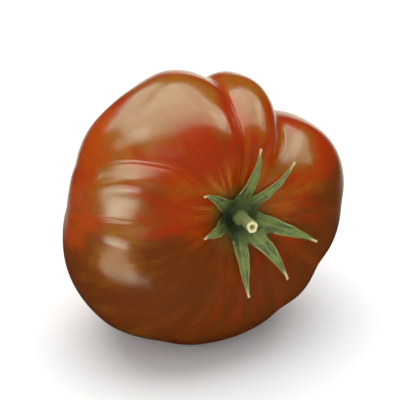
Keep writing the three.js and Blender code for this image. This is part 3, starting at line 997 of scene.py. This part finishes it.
def floor_material(floor_colour):
    """A plain pale floor with the least unevenness."""
    material, tree, shader, place = start_material("pale floor", roughness=0.6)
    shader.inputs["Specular IOR Level"].default_value = 0.0
    clouds = mottling(tree, place, scale=3.0, detail=2.0, contrast=0.4)
    seen = blend(tree, clouds, floor_colour, [FLOOR_CLOUD_SHADE * part for part in floor_colour])

    def way(direction):
        """How far a place lies in a direction."""
        node = put(tree, "ShaderNodeVectorMath", {0: place, 1: direction}, operation="DOT_PRODUCT")
        return node.outputs["Value"]

    aside = way(BRIGHT_FLOOR_ASIDE)
    behind = stretch(tree, way(BRIGHT_FLOOR_BACK), *BRIGHT_FLOOR_BEGINS)
    behind = product(tree, behind, stretch(tree, aside, *BRIGHT_FLOOR_LEFT))
    behind = product(tree, behind, stretch(tree, aside, *BRIGHT_FLOOR_RIGHT, 1.0, 0.0))
    dim = [FLOOR_IN_REFLECTIONS * part for part in floor_colour]
    bright = [part * tint for part, tint in zip(floor_colour, SHINE_COLOUR)]
    mirrored = put(tree, "ShaderNodeLightPath").outputs["Is Glossy Ray"]
    seen = blend(tree, mirrored, seen, blend(tree, behind, dim, bright))
    tree.links.new(seen, shader.inputs["Base Color"])
    return material


def patches(azimuth, along, places):
    """The sum of some soft patches of colour."""
    total = np.zeros_like(along)
    for centre, middle, wide, tall, strength in places:
        total += strength * bell(np.hypot(wrapped(azimuth - centre) / wide, (along - middle) / tall))
    return total


def build_skin(settings):
    """The whole skin, replacing the fruit's solid."""
    fruit = Fruit(settings)
    azimuth, along = fruit.grid(FINE_ROWS, FINE_COLUMN_DEGREES, FINE_FEWEST_COLUMNS)
    x, y, z, crease = fruit.skin(azimuth, along, fine=True)
    points = (fruit.pressed(fruit.leaned(x, y, z)) + fruit.shift) / MILLIMETRES
    rows, columns = azimuth.shape
    body = points[1:-1].reshape(-1, 3)
    poles = np.array([points[0].mean(axis=0), points[-1].mean(axis=0)])
    faces = closed_faces(rows - 2, columns, len(body), len(body) + 1)
    piece = add_mesh("tomato_skin", np.concatenate([body, poles]), faces, skin_material(settings))

    def spread(values):
        """The mask without its two end rows, with one value for each pole."""
        return np.concatenate([values[1:-1].ravel(), [values[0].mean(), values[-1].mean()]])

    azimuth, along, crease = spread(wrapped(azimuth)), spread(along), spread(crease)
    from_stem = along * SKIN_LENGTH
    star = shown(from_stem, STAR_RISE, STAR_CLOSE) * (STAR_LEAST + patches(azimuth, along, STAR_PATCHES))
    masks = {
        "crease": crease,
        # brown patches: partly the skin's own brown, partly painted shade
        "brown_and_shade": patches(azimuth, along, BROWN_AND_SHADE_PATCHES),
        # painted tint of the highlights, partly the crests' own tan
        "tan": patches(azimuth, along, HIGHLIGHT_TAN_PATCHES),
        # orange patches: two of them a painted highlight beside the deepest groove
        "orange_and_sheen": patches(azimuth, along, ORANGE_AND_SHEEN_PATCHES),
        "amber": STAR_STRENGTH * star,
        "olive": OLIVE_STRENGTH * (1.0 - ease(from_stem, OLIVE_CLOSE)),
        "scar": bell(((1.0 - along) * SKIN_LENGTH / SCAR_RADIUS) ** 2),
    }
    add_masks(piece, masks)
    turn = np.radians(azimuth)
    add_place(piece, "meridian", np.cos(turn), np.sin(turn), along * MERIDIAN_SCALE)
    return piece


def half_width(width, share):
    """A blade's half width along its length: full near the root, then a long taper to the tip."""
    taper = (1.0 - share**SEPAL_TAPER) * (SEPAL_NECK + SEPAL_BELLY * share)
    bulb = TIP_BULB * bell((share - TIP_BULB_PLACE) / TIP_BULB_WIDTH)
    return np.maximum(width / 2.0 * taper, SEPAL_TIP + bulb)


def blade_side(sepal, neighbour, radius, edge):
    """On the side of one neighbour: where the blades part, the edge, and how fused and how free it is."""
    half_turn = math.radians(abs(wrapped(neighbour[0] - sepal[0]))) / 2.0
    crossing = (neighbour[2] + sepal[2]) / 4.0 / math.sin(half_turn) * BLADES_PART
    notch = max(crossing, WEB_RADIUS)
    sector = radius * math.sin(half_turn)
    fused = 1.0 - ease(radius, (notch, notch + WEB_RUNOUT))
    free = ease(radius, (notch, notch + SEPAL_FREE_RUN))
    return notch, mix(np.minimum(edge, sector), sector, fused**4), fused, free


def build_blade(index, settings, fruit, phases):
    """One blade's points in the fruit's own frame, its places in the textures, and its masks."""
    thickness, wave, curl = in_millimetres(settings, "thickness", "wave", "tip_curl")
    sepal = SEPALS[index]
    azimuth, reach, width, lift, roll, bend = sepal
    share = np.linspace(0.0, 1.0, SEPAL_ROWS + 1)[:, None] ** SEPAL_ROW_SPACING
    across = np.linspace(-1.0, 1.0, SEPAL_COLUMNS + 1)[None, :]
    radius = mix(HUB_INNER, reach, share)
    blade_half = half_width(width, share)
    # The blades are listed clockwise, so the one before lies at a greater azimuth.
    neighbours = SEPALS[index - 1], SEPALS[(index + 1) % len(SEPALS)]
    sides = []
    for neighbour, bends, phase in zip(neighbours, EDGE_BENDS, phases):
        edge = blade_half * (1.0 + EDGE_WAVE * np.sin(share * bends + phase))
        sides.append(blade_side(sepal, neighbour, radius, edge))
    (notch_up, edge_up, fused_up, free_up), (notch_down, edge_down, fused_down, free_down) = sides
    side = np.where(across > 0, edge_up, edge_down) * across
    free = mix(free_down, free_up, (across + 1.0) / 2.0)
    # Inside the notches a point keeps its distance from the axis, so neighbours share their seam.
    fused = mix(fused_down, fused_up, (across + 1.0) / 2.0)
    forward = mix(radius, np.sqrt(np.maximum(radius**2 - side**2, 0.01)), fused)
    notch = max(notch_up, notch_down)
    after_notch = np.clip((radius - notch) / (reach - notch), 0.0, 1.0)
    turn = math.radians(azimuth) + np.radians(bend) * after_notch**2
    tilt = math.radians(roll) * after_notch
    sideways = side * np.cos(tilt)
    x = forward * np.cos(turn) - sideways * np.sin(turn)
    y = forward * np.sin(turn) + sideways * np.cos(turn)
    from_axis = np.hypot(x, y)
    heading = np.arctan2(y, x)
    fold = settings.fold * (np.hypot(side, MIDRIB_FLAT) - MIDRIB_FLAT) * free
    rise = (np.abs(np.sin(tilt)) * blade_half + lift * share**2) * free + side * np.sin(tilt)
    ruffle = wave * free * across**2 * np.sin(share * RUFFLE_BENDS + phases[2] + across * RUFFLE_SLANT)
    midrib = MIDRIB_DEPTH * bell(side / MIDRIB_WIDTH) * shown(share, MIDRIB_RISE, MIDRIB_CLOSE)
    curled = curl * ease(share, TIP_CURL_SPAN) ** 2
    above = fruit.bridged(np.degrees(heading), from_axis) + SEPAL_GAP + thickness
    above = above + fold + rise + ruffle - midrib + curled
    hub = 1.0 - ease(from_axis, (HUB_FLAT_RADIUS, HUB_FLAT_RADIUS + HUB_RUNOUT))
    dip = HUB_DIP * bell((from_axis - HUB_DIP_RADIUS) / HUB_DIP_WIDTH)
    z = mix(above, fruit.receptacle_top(), hub) - dip
    thin = SEPAL_THIN_EDGE * np.abs(across) ** 3 * ease(free, SEPAL_THIN_SPAN) + SEPAL_THIN_TIP * share
    # Painted shade: the blades darken towards the hub, more on one side
    hub_shade = HUB_SHADE_LEVEL + HUB_SHADE_SWING * np.cos(heading - math.radians(HUB_SHADE_AZIMUTH))
    masks = {
        "share": share,
        "margin": np.abs(across) * ease(free, MARGIN_COLOUR_SPAN),
        "midrib": bell(side / MIDRIB_COLOUR_WIDTH) * ease(share, MIDRIB_COLOUR_RISE),
        "thin": 1.0 - thin,
        "hub_shade": hub_shade * (1.0 - ease(from_axis, HUB_SHADE_SPAN)),
    }
    masks = {name: np.broadcast_to(values, x.shape).ravel() for name, values in masks.items()}
    places = [across + 0.0 * x, share * BLADE_SCALE + 0.0 * x, index + 0.0 * x]
    return np.stack([x, y, z], axis=-1).reshape(-1, 3), np.stack(places, axis=-1).reshape(-1, 3), masks


def build_calyx(settings, fruit):
    """Seven blades fused round the stem, replacing the calyx's solid."""
    chance = np.random.default_rng(SEED + 2)
    blades = []
    faces = []
    rows, columns = SEPAL_ROWS + 1, SEPAL_COLUMNS + 1
    for index in range(len(SEPALS)):
        blades.append(build_blade(index, settings, fruit, chance.uniform(0.0, math.tau, 4)))
        faces += grid_faces(rows, columns, index * rows * columns, closed=False)
    points, places, masks = zip(*blades)
    placed = fruit.placed(*np.concatenate(points).T)
    piece = add_mesh("tomato_calyx", placed, faces, sepal_material(settings))
    add_masks(piece, {name: np.concatenate([blade[name] for blade in masks]) for name in masks[0]})
    add_place(piece, "blade", *np.concatenate(places).T)
    weld(piece, WELD_DISTANCE)
    thicken(piece, settings.thickness)
    return piece


def weld(piece, distance):
    """Joins the points that neighbouring blades share."""
    sheet = bmesh.new()
    sheet.from_mesh(piece.data)
    bmesh.ops.remove_doubles(sheet, verts=sheet.verts, dist=distance)
    bmesh.ops.recalc_face_normals(sheet, faces=sheet.faces)
    sheet.to_mesh(piece.data)
    sheet.free()


def thicken(piece, thickness):
    """Gives the sheet its thickness, less at the margins and the tips."""
    group = piece.vertex_groups.new(name="thin")
    values = np.empty(len(piece.data.vertices), dtype=np.float32)
    piece.data.attributes["thin"].data.foreach_get("value", values)
    for index, value in enumerate(values):
        group.add([index], float(value), "REPLACE")
    solidify = piece.modifiers.new("thickness", "SOLIDIFY")
    solidify.thickness = thickness
    solidify.offset = -1.0
    solidify.vertex_group = "thin"
    solidify.use_even_offset = True
    solidify.use_quality_normals = True


def build_stub(settings, fruit):
    """The stub of stem, replacing its solid."""
    radius, height, foot, droop = in_millimetres(settings, "radius", "height", "foot", "droop")
    ridge, pith_radius, pith_depth = in_millimetres(settings, "ridge", "pith_radius", "pith_depth")
    phases = np.random.default_rng(SEED + 3).uniform(0.0, math.tau, 4)
    turn = np.linspace(0.0, math.tau, STEM_SIDES, endpoint=False)[None, :]
    share = np.linspace(-STEM_SUNK, 1.0, STEM_ROWS)[:, None]
    up = share * height
    flare = foot * bell(np.maximum(up, 0.0) / STEM_FOOT_HEIGHT)
    knuckle = STEM_KNUCKLE * ease(share, STEM_KNUCKLE_SPAN)
    ribs = ridge * np.cos(STEM_RIDGES * turn + STEM_TWIST * share + phases[0])
    lobes = STEM_LOBE_HEIGHT * np.sin(STEM_LOBES * turn + STEM_LOBE_TWIST * share + phases[1])
    bulges = STEM_BULGE_HEIGHT * np.sin(STEM_BULGE_BENDS * share + phases[2])
    rounding = CUT_ROUNDING * ease(share, CUT_ROUNDING_SPAN) ** 2
    wall = radius + flare + knuckle + ribs + lobes + bulges - rounding
    rim = wall[-1:]
    middle = float(rim.mean())
    rings = [np.stack(np.broadcast_arrays(wall * np.cos(turn), wall * np.sin(turn), up), axis=-1)]
    plain = 0.0 * wall
    masks = {"share": [share + plain], "cut": [ease(share, CUT_COLOUR_SPAN) + plain], "pith": [plain]}
    for scale, rise in CUT_RINGS:
        ring = mix(middle, rim, scale**2) * scale
        tilt = CUT_TILT * np.sin(turn + phases[3]) + CUT_WAVE * np.sin(CUT_WAVES * turn + phases[1])
        level = height + rise * pith_depth + tilt * scale
        rings.append(np.stack([ring * np.cos(turn), ring * np.sin(turn), level], axis=-1))
        masks["share"].append(np.ones_like(ring))
        masks["cut"].append(np.ones_like(ring))
        inside = 1.0 - ease(scale * middle, [pith_radius * edge for edge in PITH_EDGE])
        masks["pith"].append(inside + 0.0 * ring)
    points = np.concatenate(rings)
    rows = len(points)
    end = points[-1].mean(axis=0)
    poles = [[end[0], end[1] - droop, end[2] - CUT_MIDDLE_DEPTH], [0.0, 0.0, -STEM_SUNK * height]]
    points[..., 1] -= droop * np.clip(points[..., 2] / height, 0.0, None) ** 2
    local = np.concatenate([points.reshape(-1, 3), poles])
    local[:, 2] += fruit.receptacle_top() + TOUCHING_GAP
    cut_pole, foot_pole = rows * STEM_SIDES, rows * STEM_SIDES + 1
    faces = [face[::-1] for face in closed_faces(rows, STEM_SIDES, foot_pole, cut_pole)]
    piece = add_mesh("tomato_stub", fruit.placed(*local.T), faces, stub_material(settings))
    for name, values in masks.items():
        # The pole of the cut counts as cut, the pole of the foot doesn't.
        masks[name] = np.append(np.concatenate(values).ravel(), [1.0, 0.0])
    add_masks(piece, masks)
    around = np.arctan2(local[:, 1], local[:, 0])
    add_place(piece, "blade", np.cos(around), np.sin(around), local[:, 2])
    return piece


def claim(piece, node):
    """Says which body the piece rides on and hides the solid that it stands for."""
    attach(piece, "root")
    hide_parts(node)


def add_light(settings, name, key, share, place, width, height, turn, shape, mirrored_only):
    """A soft flat light, turned by some degrees in its own plane."""
    light = bpy.data.lights.new(name, "AREA")
    light.shape = shape
    light.size = width
    light.size_y = height
    light.energy = getattr(settings, key) * share
    lamp = bpy.data.objects.new(name, light)
    lamp.location = place
    facing = (Vector(LIGHTS_AIM) - Vector(place)).to_track_quat("-Z", "Y")
    lamp.rotation_euler = (facing @ Quaternion((0.0, 0.0, 1.0), math.radians(turn))).to_euler()
    lamp.visible_camera = False
    lamp.visible_diffuse = not mirrored_only
    lamp.visible_glossy = mirrored_only
    if mirrored_only:
        light.color = SHINE_COLOUR
    bpy.context.scene.collection.objects.link(lamp)


def add_room(strength):
    """A white room round the scene, dim in reflections."""
    room = bpy.data.worlds.new("white room")
    room.use_nodes = True
    tree = room.node_tree
    mirrored = put(tree, "ShaderNodeLightPath").outputs["Is Glossy Ray"]
    brightness = stretch(tree, mirrored, 0.0, 1.0, strength, strength * ROOM_IN_REFLECTIONS)
    background = tree.nodes["Background"]
    background.inputs["Color"].default_value = (1.0, 1.0, 1.0, 1.0)
    tree.links.new(brightness, background.inputs["Strength"])
    bpy.context.scene.world = room


def add_camera(settings, foot):
    """The camera at the photograph's viewing angle, its aim given from the foot of the stub."""
    turn, lift = settings.azimuth, settings.elevation
    back = Vector((math.sin(turn) * math.cos(lift), -math.cos(turn) * math.cos(lift), math.sin(lift)))
    right = Vector((math.cos(turn), math.sin(turn), 0.0))
    up = Vector((-math.sin(turn) * math.sin(lift), math.cos(turn) * math.sin(lift), math.cos(lift)))
    target = foot + right * (PICTURE_RIGHT / MILLIMETRES) + up * (PICTURE_UP / MILLIMETRES)
    camera = bpy.data.cameras.new("camera")
    camera.lens = camera.sensor_width * settings.distance / settings.view_width
    camera.clip_start = CAMERA_NEAR
    camera.clip_end = CAMERA_FAR
    holder = bpy.data.objects.new("camera", camera)
    holder.location = target + back * settings.distance
    holder.rotation_euler = (-back).to_track_quat("-Z", "Y").to_euler()
    bpy.context.scene.collection.objects.link(holder)
    bpy.context.scene.camera = holder


def build_stage(settings, fruit):
    """Pale floor, soft lights, a white room and the camera."""
    half = settings.floor_size / 2.0
    corners = np.array([[-half, -half, 0.0], [half, -half, 0.0], [half, half, 0.0], [-half, half, 0.0]])
    floor = add_mesh("floor", corners, [(0, 1, 2, 3)], floor_material(settings.floor))
    for light in LIGHTS:
        add_light(settings, *light)
    add_room(settings.room)
    bpy.context.scene.view_settings.view_transform = "Standard"
    add_camera(settings, Vector(fruit.placed(0.0, 0.0, fruit.receptacle_top()).tolist()))


class TOMATO_OT_skin(bpy.types.Operator):
    """Draw the tomato's skin over its solid."""

    bl_idname = "tomato.skin"
    bl_label = "Draw the skin"

    def execute(self, context):
        claim(build_skin(context.scene.tomato_fruit), "fruit")
        return {"FINISHED"}


class TOMATO_OT_calyx(bpy.types.Operator):
    """Draw the seven sepals over their solid."""

    bl_idname = "tomato.calyx"
    bl_label = "Draw the calyx"

    def execute(self, context):
        fruit = Fruit(context.scene.tomato_fruit)
        claim(build_calyx(context.scene.tomato_calyx, fruit), "calyx")
        return {"FINISHED"}


class TOMATO_OT_stub(bpy.types.Operator):
    """Draw the stub of stem over its solid."""

    bl_idname = "tomato.stub"
    bl_label = "Draw the stem stub"

    def execute(self, context):
        fruit = Fruit(context.scene.tomato_fruit)
        claim(build_stub(context.scene.tomato_stub, fruit), "stem")
        return {"FINISHED"}


class TOMATO_OT_stage(bpy.types.Operator):
    """Set the floor, the lights and the camera."""

    bl_idname = "tomato.stage"
    bl_label = "Set the stage"

    def execute(self, context):
        build_stage(context.scene.tomato_stage, Fruit(context.scene.tomato_fruit))
        return {"FINISHED"}


# Settings that the scene holds, their class, and the operator that they serve
SETTINGS = (
    ("tomato_fruit", FruitSettings, TOMATO_OT_skin),
    ("tomato_calyx", CalyxSettings, TOMATO_OT_calyx),
    ("tomato_stub", StubSettings, TOMATO_OT_stub),
    ("tomato_stage", StageSettings, TOMATO_OT_stage),
)


class TOMATO_PT_sidebar(bpy.types.Panel):
    """The tomato's sizes, colours and operators."""

    bl_idname = "TOMATO_PT_sidebar"
    bl_label = "Tomato"
    bl_space_type = "VIEW_3D"
    bl_region_type = "UI"
    bl_category = "Tomato"

    def draw(self, context):
        for name, kind, operator in SETTINGS:
            box = self.layout.box()
            for key in kind.__annotations__:
                box.prop(getattr(context.scene, name), key)
            box.operator(operator.bl_idname)


def register():
    """Registers the classes and the settings that the scene holds."""
    for name, kind, operator in SETTINGS:
        bpy.utils.register_class(kind)
        bpy.utils.register_class(operator)
        setattr(bpy.types.Scene, name, PointerProperty(type=kind))
    bpy.utils.register_class(TOMATO_PT_sidebar)


def unregister():
    """Takes away what register added."""
    bpy.utils.unregister_class(TOMATO_PT_sidebar)
    for name, kind, operator in reversed(SETTINGS):
        delattr(bpy.types.Scene, name)
        bpy.utils.unregister_class(operator)
        bpy.utils.unregister_class(kind)


def main():
    """Draws every piece and sets the stage."""
    register()
    bpy.ops.tomato.skin()
    bpy.ops.tomato.calyx()
    bpy.ops.tomato.stub()
    bpy.ops.tomato.stage()


if __name__ == "__main__":
    main()
